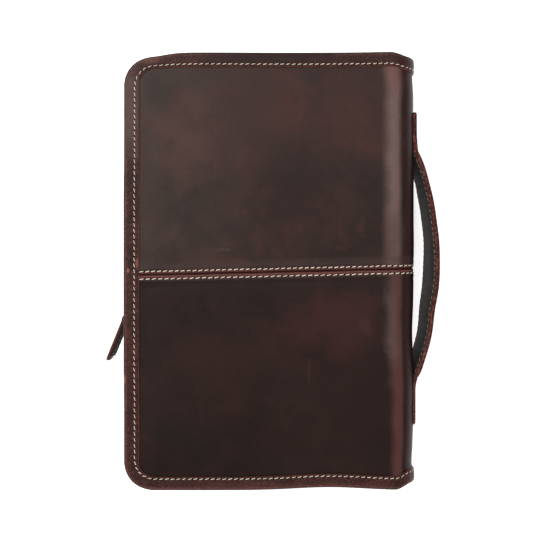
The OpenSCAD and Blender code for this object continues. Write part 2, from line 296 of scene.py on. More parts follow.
def cloth(name, c1, c2, src="rp", scale=900, rough=0.85, bumpd=0.00012, rot=0.0):
    m, nt, bs = new_mat(name)
    v = coords(nt, src)
    mp = nt.nodes.new("ShaderNodeMapping"); mp.inputs["Rotation"].default_value = (0, 0, rot); nt.links.new(v, mp.inputs["Vector"])
    hs = []
    for ax in ("X", "Y", "Z"):
        w = nt.nodes.new("ShaderNodeTexWave"); w.wave_type = "BANDS"; w.bands_direction = ax
        w.inputs["Scale"].default_value = scale / 3.14; w.inputs["Distortion"].default_value = 0.6
        w.inputs["Detail"].default_value = 1; w.inputs["Detail Scale"].default_value = 2
        nt.links.new(mp.outputs[0], w.inputs["Vector"]); hs.append(w.outputs["Fac"])
    h = math2(nt, "ADD", math2(nt, "ADD", hs[0], hs[1]), hs[2])
    cloud = noise(nt, v, 30, 3)
    col = mix(nt, rng(nt, h, 0.8, 2.3, 0, 1), c1, c2)
    col = mix(nt, rng(nt, cloud, 0.4, 0.7, 0, 0.35), col, c1)
    nt.links.new(col, bs.inputs["Base Color"])
    fz = noise(nt, v, 2500, 2)
    nt.links.new(rng(nt, fz, 0.3, 0.7, rough - 0.08, rough + 0.08), bs.inputs["Roughness"])
    bs.inputs["Sheen Weight"].default_value = 0.06
    bs.inputs["Specular IOR Level"].default_value = 0.25
    bump(nt, bs, h, bumpd, 0.8)
    return m

def metal(name, c1, c2, src="obj", rough=(0.28, 0.5)):
    m, nt, bs = new_mat(name)
    v = coords(nt, src)
    n = noise(nt, v, 400, 5); n2 = noise(nt, v, 3500, 3)
    nt.links.new(ramp(nt, n, [(0.38, c1), (0.62, c2)]), bs.inputs["Base Color"])
    bs.inputs["Metallic"].default_value = 1.0
    nt.links.new(rng(nt, n, 0.35, 0.65, rough[0], rough[1]), bs.inputs["Roughness"])
    bump(nt, bs, n2, 0.00002, 0.5)
    return m

def paper(name, axis="Z", gilt=True):
    """Page block: leaf lines on every side of the block, gilt on them; cream on the faces."""
    m, nt, bs = new_mat(name)
    v = coords(nt, "obj")
    geo = nt.nodes.new("ShaderNodeNewGeometry")
    tc = nt.nodes.new("ShaderNodeTexCoord")
    sep = nt.nodes.new("ShaderNodeSeparateXYZ"); nt.links.new(tc.outputs["Normal"], sep.inputs[0])
    face = rng(nt, math2(nt, "ABSOLUTE", sep.outputs["Z"], 0), 0.5, 0.9, 0, 1)
    st = noise(nt, v, 1, 6, 0.7, stretch=((30, 30, 9000), (0, 0, 0)))
    st2 = noise(nt, v, 1, 3, 0.6, stretch=((60, 60, 2500), (0, 0, 0)))
    g = ramp(nt, st, [(0.35, srgb(150, 112, 52)), (0.65, srgb(222, 186, 110))])
    g = mix(nt, rng(nt, st2, 0.45, 0.75, 0, 0.45), g, srgb(120, 84, 38))
    cl = noise(nt, v, 40, 4)
    fib = noise(nt, v, 900, 4, 0.7)
    p = ramp(nt, cl, [(0.2, srgb(229, 220, 196)), (0.8, srgb(235, 228, 207))])
    p = mix(nt, rng(nt, fib, 0.45, 0.75, 0, 0.35), p, srgb(214, 203, 176))
    nt.links.new(mix(nt, face, g, p), bs.inputs["Base Color"])
    nt.links.new(math2(nt, "SUBTRACT", 0.75, math2(nt, "MULTIPLY", face, 0.75)), bs.inputs["Metallic"])
    nt.links.new(rng(nt, face, 0, 1, 0.36, 0.8), bs.inputs["Roughness"])
    bump(nt, bs, st, 0.00012, 0.6)
    return m

HIDE = leather("hide_panel", srgb(35, 24, 21), srgb(54, 34, 30), srgb(74, 39, 35), rough=(0.36, 0.5), spec=0.14, grain=0.00005,
               low=(-0.006, 0.002, 0.70, srgb(27, 15, 12)), light=(srgb(66, 52, 47), 0.8),
               # the first two zones paint the highlight where the cover rounds into the spine, on the head and tail
               # halves
               # the third zone paints the shade on the spine face that turns away from the lamps
               zones=[("highlight_u", 71.9, 72.6, (9.0, 4.8), srgb(102, 81, 78), 1.2), ("highlight_l", 73.2, 73.7, (7.0, 4.4), srgb(80, 50, 47), 1.25), ("fold", 79.3, 86, 3.0, srgb(38, 12, 9), 1.0),
                      ("s", 2.2, 6.0, 1.4, srgb(66, 52, 48), 0.35), ("s", -1.35, 1.35, 0.3, srgb(92, 52, 45), 0.95)],
               spots=[((54.5, -32, 48), (5.5, 6.5, 3), srgb(66, 44, 41), 0.4), ((-28, 12.5, 48), (7, 1.2, 3), srgb(80, 62, 57), 0.35), ((22, -58, 48), (1.4, 9, 3), srgb(58, 38, 34), 0.4),
                      # the spots near x = 70 are painted highlight along the spine bend (on the tail half, and redder
                      # at the head end), plus a darker patch that dims it towards the seam
                      ((34, -30, 48), (34, 22, 5), srgb(66, 34, 33), 0.42), ((70.2, -34, 46), (5.5, 34, 8), srgb(88, 70, 66), 0.6), ((70.6, 16, 46), (7, 30, 9), srgb(66, 47, 44), 0.42), ((70.8, 113, 46), (6.5, 15, 9), srgb(104, 66, 56), 0.45), ((-30, -52, 48), (30, 34, 5), srgb(48, 27, 23), 0.4), ((-48, 74, 48), (26, 30, 5), srgb(78, 52, 47), 0.5), ((14, 52, 48), (36, 30, 5), srgb(38, 24, 21), 0.8), ((-8, 84, 48), (26, 34, 5), srgb(50, 35, 31), 0.5), ((40, 92, 48), (24, 20, 5), srgb(60, 34, 32), 0.35),
                      ((-52, -98, 48), (24, 18, 5), srgb(26, 19, 17), 0.5), ((-64, 104, 48), (10, 14, 5), srgb(44, 38, 34), 0.45)])
# the third spot, pale grey at (-81, 92), is a painted highlight on the binding
EDGE_SPOTS = [((6, 125, 47), (74, 6.5, 6), srgb(38, 20, 17), 0.85), ((0, -125, 47), (80, 5.5, 6), srgb(86, 52, 45), 0.3), ((-81, 92, 48), (6, 30, 5), srgb(86, 66, 63), 0.7), ((-84.6, -62.6, 47), (1.0, 3.2, 2.4), srgb(150, 86, 76), 1.0), ((-82.6, 0.6, 48), (0.9, 1.6, 2), srgb(140, 88, 76), 0.9), ((-77.2, 5, 48), (1.4, 4.4, 2), srgb(132, 80, 66), 0.7), ((-70.5, 122.4, 47.5), (7, 3.4, 3), srgb(104, 70, 62), 0.5)]
HIDE_EDGE = leather("hide_edge", srgb(44, 21, 18), srgb(66, 37, 33), srgb(88, 48, 42), rough=(0.38, 0.55), spec=0.16, seed=3.1, scuff=0.5, speck=0.55,
                    # the last zone darkens the outer rim where the binding rolls over: painted shade
                    zones=[("s", 8.75, 9.6, 0.25, srgb(122, 70, 60), 1.0), ("s", 7.9, 8.35, 0.25, srgb(44, 18, 16), 0.6), ("s", 1.2, 1.75, 0.4, srgb(104, 66, 58), 0.75), ("s", -0.8, 0.45, 0.3, srgb(40, 15, 12), 0.85)], spots=EDGE_SPOTS)
HIDE_STRAP = leather("hide_strap", srgb(44, 21, 18), srgb(66, 36, 31), srgb(92, 50, 43), rough=(0.38, 0.55), spec=0.16, seed=4.4, scuff=0.5, speck=0.5,
                     zones=[("s", 13.9, 15.4, 0.5, srgb(104, 58, 49), 0.8), ("s", 12.3, 12.9, 0.4, srgb(40, 18, 15), 0.5)])
HIDE_RED = leather("hide_raw_edge", srgb(72, 34, 28), srgb(98, 52, 43), srgb(122, 70, 60), rough=(0.5, 0.7), spec=0.12, seed=5.3, grain=0.00009)
HIDE_RIM = leather("hide_strap_rim", srgb(72, 33, 28), srgb(100, 55, 47), srgb(128, 74, 65), rough=(0.5, 0.7), spec=0.12, seed=6.1, grain=0.00012, speck=0.7,
                   zones=[("e", 0.3, 0.9, 0.3, srgb(74, 44, 37), 0.7), ("e", 2.0, 2.35, 0.22, srgb(56, 22, 18), 0.85), ("e", 2.75, 3.2, 0.2, srgb(116, 76, 66), 0.6)])
HIDE_SEAM = leather("hide_seam", srgb(48, 20, 16), srgb(66, 32, 27), srgb(84, 48, 41), rough=(0.45, 0.6), spec=0.14, seed=7.7,
                    # the pale band at s -1.0 to -0.6 is the raised cut edge, its burnished colour partly painted
                    # highlight; the near-black line at s 0.34 to 0.5 is painted shade in the seam groove
                    zones=[("s", -1.0, -0.6, 0.3, srgb(108, 68, 62), 1.0), ("s", 0.34, 0.5, 0.18, srgb(16, 3, 3), 1.1)])
HIDE_IN = leather("hide_inner", srgb(38, 24, 21), srgb(54, 36, 31), srgb(76, 44, 37), rough=(0.45, 0.62), spec=0.2, seed=9.0)
HIDE_INO = leather("hide_inner_o", srgb(38, 24, 21), srgb(54, 36, 31), srgb(76, 44, 37), src="obj", rough=(0.5, 0.68), spec=0.2, seed=9.0)
HIDE_PULL = leather("hide_pull", srgb(40, 20, 17), srgb(60, 32, 27), srgb(92, 48, 40), rough=(0.42, 0.6), spec=0.18, seed=11.0, speck=0.35,
                    zones=[("s", 6.4, 7.6, 0.25, srgb(96, 48, 40), 0.9)])
LINING = cloth("lining_cloth", srgb(33, 29, 25), srgb(55, 49, 43))
LINING_O = cloth("lining_cloth_o", srgb(40, 40, 38), srgb(66, 66, 61), src="obj", scale=700)
TAPE = cloth("zip_tape", srgb(30, 20, 18), srgb(54, 38, 33), scale=1500)
RIBBON = cloth("ribbon_satin", srgb(92, 14, 24), srgb(138, 28, 40), scale=1700, rough=0.42, bumpd=0.00003)
HEADB = None
BRASS = metal("antique_brass", srgb(70, 54, 36), srgb(146, 118, 78))
BRASS_RP = metal("antique_brass_teeth", srgb(74, 58, 40), srgb(150, 122, 82), src="rp")
PAGES = paper("page_block")
COVER = leather("book_cover", srgb(18, 15, 15), srgb(30, 25, 24), srgb(42, 34, 32), src="obj", rough=(0.35, 0.5), seed=13.0, grain=0.00012, scuff=0.1, spec=0.35)

def thread_mat(name, ca, cb):
    m, nt, bs = new_mat(name)
    at = nt.nodes.new("ShaderNodeAttribute"); at.attribute_name = "tw"
    w = math2(nt, "SINE", at.outputs["Fac"], 0)
    v = coords(nt, "rp")
    n = noise(nt, v, 150, 3)
    col = ramp(nt, n, [(0.3, ca), (0.7, cb)])
    # darker in the troughs of the twist, between the plies: painted shade
    col = mix(nt, rng(nt, w, -1, 0.2, 0.5, 0), col, tuple(c * 0.4 for c in ca))
    nt.links.new(col, bs.inputs["Base Color"])
    fz = noise(nt, v, 4000, 2)
    nt.links.new(rng(nt, fz, 0.3, 0.7, 0.5, 0.7), bs.inputs["Roughness"])
    bs.inputs["Sheen Weight"].default_value = 0.3
    bump(nt, bs, w, 0.00008, 0.8)
    return m
THREAD = thread_mat("thread", srgb(204, 184, 166), srgb(240, 226, 210))
# a darker copy of the thread, used for the rows on the strap's lining side, the zip walls and the pulls' inner faces
THREAD_D = thread_mat("thread_darker", srgb(112, 98, 84), srgb(160, 144, 126))

# a flat dark disc at each pricked hole: painted shade
def hole_shade_mat():
    m, nt, bs = new_mat("stitch_hole_shade")
    v = coords(nt, "rp")
    n = noise(nt, v, 2200, 3)
    nt.links.new(ramp(nt, n, [(0.3, srgb(14, 8, 8)), (0.7, srgb(30, 17, 15))]), bs.inputs["Base Color"])
    nt.links.new(rng(nt, n, 0.3, 0.7, 0.75, 0.95), bs.inputs["Roughness"])
    bs.inputs["Specular IOR Level"].default_value = 0.1
    bump(nt, bs, n, 0.0001, 0.6)
    return m
HOLE_SHADE = hole_shade_mat()

# ---------------------------------------------------------------- stitches
def resample(pts, pitch, start=0.0, end=None):
    """pts: list of (pos, side, up). Returns stations every pitch along them."""
    L = [0.0]
    for a, b in zip(pts, pts[1:]):
        L.append(L[-1] + (b[0] - a[0]).length)
    end = L[-1] if end is None else end
    n = max(1, round((end - start) / pitch))
    out, k = [], 0
    for i in range(n + 1):
        d = start + (end - start) * i / n
        while k < len(L) - 2 and L[k + 1] < d: k += 1
        w = (d - L[k]) / max(1e-9, L[k + 1] - L[k])
        a, b = pts[k], pts[k + 1]
        out.append((a[0].lerp(b[0], w), a[1].lerp(b[1], w).normalized(), a[2].lerp(b[2], w).normalized(), (b[0] - a[0]).normalized()))
    return out

def stitch_row(name, pts, pitch=3.4, length=0.70, r=0.27, slant=0.20, lift=0.08, seed=1, soft=False, mats=None, hole=1.0):
    """A row of saddle stitches. pts: (position on the surface, side direction, surface normal) in mm."""
    rd = random.Random(seed)
    st = resample(pts, pitch)
    V, F, TW, MI = [], [], [], []
    for i in range(len(st) - 1):
        a, b = st[i], st[i + 1]
        mid = (a[0] + b[0]) / 2; t = (b[0] - a[0]); step = t.length; t.normalize()
        up = (a[2] + b[2]).normalized(); side = up.cross(t).normalized()
        sl = slant + rd.uniform(-0.05, 0.05); ln = step * length * (1 + rd.uniform(-0.05, 0.05)) / 2
        off = rd.uniform(-0.05, 0.05)
        base = len(V); NR, NS = 7, 8
        for p in range(NR):
            q = -1 + 2 * p / (NR - 1)
            c = mid + t * (q * ln) + side * (q * ln * sl + off) + up * (lift - 0.55 * r * abs(q) ** 3 - 0.25 * r)
            rr = r * (1 - 0.45 * abs(q) ** 4)
            for s in range(NS):
                an = 2 * math.pi * s / NS
                w = c + side * (math.cos(an) * rr) + up * (math.sin(an) * rr * 0.85)
                V.append(tuple(w)); TW.append(an + q * ln * 7.5)
        f = grid_faces(NR, NS, True, base)
        f.append(tuple(base + s for s in range(NS)))
        f.append(tuple(base + (NR - 1) * NS + s for s in reversed(range(NS))))
        F += f; MI += [0] * len(f)
        # the pricked hole between this stitch and the next, drawn as a flat dark disc: painted shade of the hole
        hb = len(V); c = b[0] + up * 0.035
        V.append(tuple(c)); TW.append(0)
        for s in range(10):
            an = 2 * math.pi * s / 10
            w = c + t * (math.cos(an) * step * 0.19 * hole) + side * (math.sin(an) * 0.36 * hole) + t * (math.sin(an) * 0.1)
            V.append(tuple(w)); TW.append(0)
        for s in range(10):
            F.append((hb, hb + 1 + s, hb + 1 + (s + 1) % 10)); MI.append(1)
    return mk(name, V, F, THREAD, attrs={"tw": TW}, mats=mats or [THREAD, HOLE_SHADE], midx=MI, soft=soft)

# ---------------------------------------------------------------- the two covers
def Zs(side, d):
    return T - d if side > 0 else d

def section(side, x_from, n_flat=44, n_bend=14, to_z=None):
    """Points (pos2d x, z, normal) of the cover's outer line from x_from over the bend to the spine face."""
    out = []
    for i in range(n_flat):
        x = x_from + (XF - x_from) * i / n_flat
        out.append((x, T, 0.0, 1.0))
    for i in range(n_bend + 1):
        a = math.pi / 2 * (1 - i / n_bend)
        out.append((XF + RB * math.cos(a), T - RB + RB * math.sin(a), math.cos(a), math.sin(a)))
    zend = (T - RB) if to_z is None else to_z
    if zend < T - RB - 0.1:
        for i in range(1, 9):
            out.append((XS, T - RB + (zend - T + RB) * i / 8, 1.0, 0.0))
    if side < 0:
        out = [(x, T - z, nx, -nz) for (x, z, nx, nz) in out]
    return out

SEAM_W = 3.0
def seam_line_y(x):      # y of the seam at x, before going round the bend
    return -0.85 + math.tan(SKEW) * (x + 1)

def panel(side, upper, body_pair, to_z):
    """One leather panel from under the binding, over the bend, to the spine face."""
    sec = section(side, XO + 8, to_z=to_z)
    sgn = 1 if upper else -1
    vs = [0.0, 0.5, 0.9, 1.3, 1.7, 2.1, 2.6, 3.2, 4.2, 6, 9, 13]
    ny = 34
    V, F, S, R = [], [], [], []
    run = 0
    for i, (x, z, nx, nz) in enumerate(sec):
        if i: run += math.hypot(x - sec[i - 1][0], z - sec[i - 1][1])
        xx = XO + 8 + run
        y0 = seam_line_y(min(xx, XS + 10)) + sgn * 1.15
        y1 = sgn * (HL - 8)
        rowv = vs + [13 + (abs(y1 - y0) - 13) * (k / ny) for k in range(1, ny + 1)]
        for v in rowv:
            y = y0 + sgn * v
            # padded centre, pulled down at the seams
            db = min(x - (XO + BW), HL - BW - abs(y), 60) if nz * side > 0.99 else min(HL - BW - abs(y), 60)
            d = 1.05 - 0.55 * sstep(db / 14) * sstep((v + 2) / 9)
            d -= 0.30 * (1 - sstep((v - 2.6) / 1.6))          # the stitched margin stands up a little
            if v < 0.3: d += 0.35                               # its rounded edge
            d += 0.22 * math.exp(-((v - 1.25) / 0.5) ** 2)      # groove of the stitches
            d += 0.10 * wob(xx, y, 1 if upper else 2) * sstep(db / 25)
            V.append((x - nx * d, y, z - nz * d)); S.append(v * sgn); R.append(xx + 0.5 * wob(y * 1.3, 0, 6))
    nv = len(vs) + ny
    flip = (side > 0) == upper
    # the last attribute places the painted spine highlight; on the tail half it sits further towards the spine the
    # further down it goes
    o = mk(("front" if side > 0 else "back") + ("_upper" if upper else "_lower") + "_hide", V, grid_faces(len(sec), nv, flip=flip), HIDE, attrs={"s": S, "fold": R, "highlight_u" if upper else "highlight_l": [r - (0 if upper else 1.5 * sstep2((-16 - v[1]) / 60)) for r, v in zip(R, V)]}, soft=True)
    return o

def seam_strip(side, to_z):
    sec = section(side, XO + 8, to_z=to_z)
    prof = [(2.2, 1.6), (1.3, 1.35), (1.05, 1.0), (0.85, 0.85), (0.62, 1.0), (0.5, 1.55), (0.4, 1.62), (0.3, 1.5), (0.12, 0.9), (-0.3, 0.78), (-0.6, 0.66), (-0.9, 0.70), (-1.1, 0.86), (-1.2, 1.1), (-1.5, 1.35), (-2.2, 1.6)]
    V, S, run = [], [], 0
    for i, (x, z, nx, nz) in enumerate(sec):
        if i: run += math.hypot(x - sec[i - 1][0], z - sec[i - 1][1])
        yc = seam_line_y(XO + 8 + run) + 0.12 * wob(run * 2.2, 0, 5)
        for (v, d) in prof:
            V.append((x - nx * d, yc + v, z - nz * d)); S.append(v)
    return mk(("front" if side > 0 else "back") + "_seam_welt", V, grid_faces(len(sec), len(prof), flip=side < 0), HIDE_SEAM, attrs={"s": S}, soft=True)

def seam_pts(side, dv, to_z, d=0.55):
    sec = section(side, XO + BW - 0.2, n_flat=60, n_bend=24, to_z=to_z)
    out, run = [], 0
    for i, (x, z, nx, nz) in enumerate(sec):
        if i: run += math.hypot(x - sec[i - 1][0], z - sec[i - 1][1])
        out.append((Vector((x - nx * d, seam_line_y(XO + BW - 0.2 + run) + dv + 0.1 * wob(run * 2, 0, 3 + dv), z - nz * d)), Vector((0, 1, 0)), Vector((nx, 0, nz))))
    return out

def rim(side, inset, spine_z=None, ds=0.85):
    """Stations round a cover's edge: (outer point, inward, depth direction, tangent), from the head end of the spine to the tail end."""
    st = []
    def add(p, i, d): st.append((Vector(p), Vector(i), Vector(d)))
    if spine_z is not None:
        n = 14
        for k in range(n):
            z = spine_z + (T - RB - spine_z) * k / n
            add((XS, HL, z), (0, -1, 0), (-1, 0, 0))
    for k in range(25):
        a = math.pi / 2 * k / 24
        add((XF + RB * math.cos(a), HL, T - RB + RB * math.sin(a)), (0, -1, 0), (-math.cos(a), 0, -math.sin(a)))
    x1 = XO + RC
    n = int((XF - x1) / ds)
    for k in range(1, n): add((XF + (x1 - XF) * k / n, HL, T), (0, -1, 0), (0, 0, -1))
    for k in range(33):
        a = math.pi / 2 * k / 32
        add((x1 - RC * math.sin(a), HL - RC + RC * math.cos(a), T), (math.sin(a), -math.cos(a), 0), (0, 0, -1))
    y1 = HL - RC
    n = int(2 * y1 / ds)
    for k in range(1, n): add((XO, y1 - 2 * y1 * k / n, T), (1, 0, 0), (0, 0, -1))
    half = st[:]
    # mirror the head half to the tail
    cut = [s for s in half if not (abs(s[0].x - XO) < 1e-3 and abs(s[0].y) < y1 - 1e-3)]
    for (p, i, d) in reversed(cut):
        st.append((Vector((p.x, -p.y, p.z)), Vector((i.x, -i.y, i.z)), d.copy()))
    if side < 0:
        st = [(Vector((p.x, p.y, T - p.z)), i, Vector((d.x, d.y, -d.z))) for (p, i, d) in st]
    return st

def binding(side, spine_z):
    st = rim(side, 0, spine_z)
    prof = [(9.05, 1.35), (9.1, 0.9), (9.0, 0.45), (8.75, 0.22), (8.2, 0.12), (7.6, 0.12), (7.0, 0.20), (6.5, 0.30), (6.0, 0.20), (5.2, 0.06), (4.2, 0.02), (3.2, 0.03), (2.4, 0.08),
            (1.9, 0.20), (1.65, 0.16), (1.3, 0.14), (0.8, 0.28), (0.4, 0.6), (0.12, 1.1), (0.02, 1.8), (0.02, 3.2), (0.08, 4.6), (0.4, 5.3), (1.2, 5.55), (2.6, 5.55), (4.2, 5.55)]
    V, S, U = [], [], 0.0
    prev = None
    A = []
    for (p, i, d) in st:
        if prev is not None: U += (p - prev).length
        prev = p
        pk = math.cos(2 * math.pi * U / 3.4)
        corner = 1.0 if (i.x > 0.05 and i.x < 0.998) else 0.0
        for (s, dep) in prof:
            s2 = s; d2 = dep
            tl, hd = max(0.0, i.y), max(0.0, -i.y)
            if s > 6.9: s2 = 6.9 + (s - 6.9) * (1 - 0.58 * tl - 0.28 * hd)
            s2 += (0.6 * hd + 0.45 * tl) * math.exp(-((s - 6.5) / 1.6) ** 2)
            w = math.exp(-((s - 6.4) / 1.3) ** 2)
            d2 += 0.05 * pk * w
            if s > 8.1: s2 += 0.14 * wob(U * 2.3, 0, 8) + 0.05 * wob(U * 9, 0, 2)
            if 0.3 < s < 8 and dep < 0.6: d2 += 0.035 * wob(U * 3.1, s * 9, 4)
            if corner and s > 2:
                # small gathers where the strip is eased round the corner
                d2 += 0.16 * math.sin(U * 2.1 + s * 0.25) * math.sin(math.pi * min(1, (s - 2) / 7)) * (1 - w)
                if s > 8: s2 += 0.25 * math.sin(U * 1.7)
            if dep < 1.0: d2 = max(d2, 0.0)
            q = p + i * s2 + d * d2
            V.append(tuple(q)); S.append(s if dep < 4 else 4.0)
    o = mk(("front" if side > 0 else "back") + "_edge_binding", V, grid_faces(len(st), len(prof), flip=side < 0), HIDE_EDGE, attrs={"s": S}, soft=True)
    return o

def rim_pts(side, inset, d, spine_z):
    st = rim(side, 0, spine_z)
    return [(p + i * (inset + 0.6 * max(0.0, -i.y) + 0.45 * max(0.0, i.y)) + dd * d, i, -dd) for (p, i, dd) in st]

ZSPLIT = RB                # the back bend ends here on the spine
def bend_front(o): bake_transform(o); return o
def bend_back(o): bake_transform(o); return o

for side, bend, tz, nm in ((1, bend_front, ZSPLIT, "front"), (-1, bend_back, T - RB, "back")):
    up = bend(panel(side, True, None, tz if side > 0 else None))
    lo = bend(panel(side, False, None, tz if side > 0 else None))
    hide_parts(nm + "_upper_panel"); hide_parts(nm + "_lower_panel")
    if side > 0:
        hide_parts("spine_upper_panel"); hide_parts("spine_lower_panel")
    w = bend(seam_strip(side, tz if side > 0 else None))
    b = bend(binding(side, tz if side > 0 else T - RB))
    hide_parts(nm + "_binding")
    if side > 0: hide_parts("spine_binding")
    to = tz if side > 0 else None
    bend(stitch_row(nm + "_seam_thread_upper", seam_pts(side, 2.25, to), 3.4, r=0.34, length=0.74, slant=0.16 * side, seed=3, soft=True))
    bend(stitch_row(nm + "_seam_thread_lower", seam_pts(side, -2.15, to), 3.62, r=0.33, length=0.74, slant=0.16 * side, seed=4, soft=True))
    bend(stitch_row(nm + "_binding_thread", rim_pts(side, 6.4, 0.16, to if side > 0 else T - RB), 3.35, slant=0.22 * side, seed=5, soft=True))

# ---------------------------------------------------------------- handle
hs_lo, hs_hi = bx("handle_strap"); hl_lo, hl_hi = bx("handle_lining")
SW, SL = hs_hi[2] - hs_lo[2], hs_hi[1] - hs_lo[1]
HX = hl_lo[0]                                  # inner face of the sewn ends
HG = hl_hi[0] - hl_lo[0] - 1.4
def bow(y):
    s = min(1, abs(y - 4) / 66.0)
    return 0.955 * HG * (1 - s ** 2.2)
def strap_st(n=150):
    out = []
    for i in range(n + 1):
        y = hs_lo[1] + SL * i / n
        e = 0.4; t = Vector((bow(y + e) - bow(y - e), 2 * e, 0)).normalized()
        out.append((Vector((HX + bow(y) + lie(y), y, ZC)), Vector((t.y, -t.x, 0)), t))
    return out
def lie(y):
    """How much closer than the flat spine the sewn ends lie."""
    return -1.25 * sstep((-y - 56) / 14) - 1.3 * sstep((y - 62) / 20)
def thin(y, d):
    """The strap is skived thinner at its lower end."""
    return d if d < 0.5 else 0.45 + (d - 0.45) * (1 - 0.34 * sstep((-y - 58) / 12))
def sag_at(y, z):
    """The worn handle: its lower run pulled flatter, its under edge leaning toward the spine."""
    e = sstep2((62 - abs(y)) / 14)
    d = -0.45 * e - 1.15 * math.exp(-((y + 23) / 11) ** 2) - 0.3 * math.exp(-((y - 30) / 8) ** 2)
    k = min(1.0, max(0.0, (SW / 2 - z) / SW))
    return d - k * (1.4 * math.exp(-((y + 5) / 22) ** 2) - 0.8 * math.exp(-((y - 55) / 7) ** 2))
def strap_mesh(name, w, d0, d1, mats, cut=2.2, split=None):
    """A strap section swept along the bow. Rounded long edges; corners of the ends cut round."""
    st = strap_st()
    V, F, MI, S, E = [], [], [], [], []
    r = 0.35
    prof = [(-w + r, d0), (-w, d0 + r), (-w, d1 - r), (-w + r, d1), (-w * 0.6, d1 + 0.12), (0, d1 + 0.15), (w * 0.6, d1 + 0.12), (w - r, d1), (w, d1 - r), (w, d0 + r), (w - r, d0), (0, d0)]
    n = len(prof)
    L = len(st)
    for k, (p, nrm, t) in enumerate(st):
        y_end = min(k, L - 1 - k) * SL / (L - 1)
        sq = w - (cut - math.sqrt(max(0, cut ** 2 - (cut - min(cut, y_end)) ** 2))) if y_end < cut else w
        for (z, d) in prof:
            zz = z * sq / w
            V.append(tuple(p + nrm * thin(p.y, d) + Vector((sag_at(p.y, zz), 0, zz)))); S.append(abs(zz)); E.append(d)
    F = grid_faces(L, n, True, flip=True)
    for k in range(L - 1):
        for j in range(n):
            edge = prof[j][0] < -w + r + 0.01 and prof[(j + 1) % n][0] < -w + r + 0.01 or prof[j][0] > w - r - 0.01 and prof[(j + 1) % n][0] > w - r - 0.01
            MI.append(1 if edge and len(mats) > 1 else 0)
    F.append(tuple(range(n))); F.append(tuple((L - 1) * n + j for j in reversed(range(n)))); MI += [len(mats) - 1] * 2
    return mk(name, V, F, mats[0], mats=mats, midx=MI, attrs={"s": S, "e": E})
h1 = strap_mesh("handle_hide", SW / 2, 0.45, 3.05, [HIDE_STRAP, HIDE_RIM]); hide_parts("handle_strap")
h2 = strap_mesh("handle_cloth", SW / 2 - 0.55, 0.0, 0.7, [LINING]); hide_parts("handle_lining")
hp = [h1, h2]
def strap_line(z, d, sgn):
    return [(p + n * thin(p.y, d) + Vector((sag_at(p.y, z), 0, z)), Vector((0, 0, 1)), n * sgn) for (p, n, t) in strap_st()[3:-3]]
for k in (-1, 1):
    hp.append(stitch_row("handle_thread_out_%d" % (k > 0), strap_line(k * (SW / 2 - 2.4), 3.16, 1), 3.4, seed=int(20 + k)))
    hp.append(stitch_row("handle_thread_in_%d" % (k > 0), strap_line(k * (SW / 2 - 1.15), 0.02, -1), 3.4, r=0.26, length=0.7, lift=0.06, seed=int(60 + k), mats=[THREAD_D, HOLE_SHADE]))
# box stitches across the sewn ends
for y in (hs_lo[1] + 2.6, hs_lo[1] + 22, hs_hi[1] - 2.6, hs_hi[1] - 22):
    pts = [(Vector((HX + lie(y) + sag_at(y, k) + thin(y, 3.2) + 0.1 * (1 - abs(k) / 12), y, ZC + k)), Vector((0, 1, 0)), Vector((1, 0, 0))) for k in (-12, -8, -4, 0, 4, 8, 12)]
    hp.append(stitch_row("handle_thread_across_%d" % int(y + 200), pts, 3.4, seed=int(y + 300)))
for o in hp:
    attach(o, "spine")
    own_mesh(o)

# ---------------------------------------------------------------- zip teeth
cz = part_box("back_zip_chain")
INS = 6.15
def zip_path(ds):
    pts = []
    x_end = cz[1][0] * 1000 - 0.5
    r = RC - INS
    x1 = XO + RC
    seq = []
    n = int((x_end - x1) / ds)
    for k in range(n + 1): seq.append(((x_end + (x1 - x_end) * k / n, HL - INS), (0, 1)))
    m = int(math.pi / 2 * r / ds)
    for k in range(1, m):
        a = math.pi / 2 * k / m
        seq.append(((x1 - r * math.sin(a), HL - RC + r * math.cos(a)), (-math.sin(a), math.cos(a))))
    n = int(2 * (HL - RC) / ds)
    for k in range(n + 1): seq.append(((XO + INS, (HL - RC) * (1 - 2 * k / n)), (-1, 0)))
    for (p, nn) in reversed(seq[: int((x_end - x1) / ds) + m]):
        seq.append(((p[0], -p[1]), (nn[0], -nn[1])))
    return seq
def teeth(name, up):
    V, F = [], []
    sq = zip_path(1.25)
    for k, (p, nn) in enumerate(sq):
        if (k % 2 == 0) != up: continue
        n3 = Vector((nn[0], nn[1], 0)); t = Vector((-nn[1], nn[0], 0))
        c = Vector((p[0], p[1], 0))
        z0, z1 = (ZC - 1.0, ZC + 2.9) if up else (ZC + 1.0, ZC - 2.9)
        base = len(V)
        # a tooth: narrow leg on the tape, wide head past the middle
        for (z, hw, th) in ((z1 + (0.45 if up else -0.45), 0.42, 1.25), ((z1 + ZC) / 2, 0.42, 1.25), (ZC + (0.25 if up else -0.25), 0.62, 1.3), (z0 + (0.35 if up else -0.35), 0.66, 1.3), (z0, 0.4, 1.0)):
            for (a, b) in ((-1, -1), (-1, 1), (1, 1), (1, -1)):
                V.append(tuple(c + t * (a * hw) + n3 * (b * th) + Vector((0, 0, z))))
        for lv in range(4):
            for s in range(4):
                a, b = base + lv * 4 + s, base + lv * 4 + (s + 1) % 4
                F.append((a, b, b + 4, a + 4))
        F.append((base, base + 3, base + 2, base + 1)); F.append((base + 16, base + 17, base + 18, base + 19))
    o = mk(name, V, F, BRASS_RP, smooth=False)
    bm = o.modifiers.new("b", "BEVEL"); bm.width = 0.00012; bm.segments = 1
    return o
tb = teeth("back_zip_teeth", False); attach(tb, "back"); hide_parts("back_zip_chain")
tf = teeth("front_zip_teeth", True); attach(tf, "front"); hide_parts("front_zip_chain")

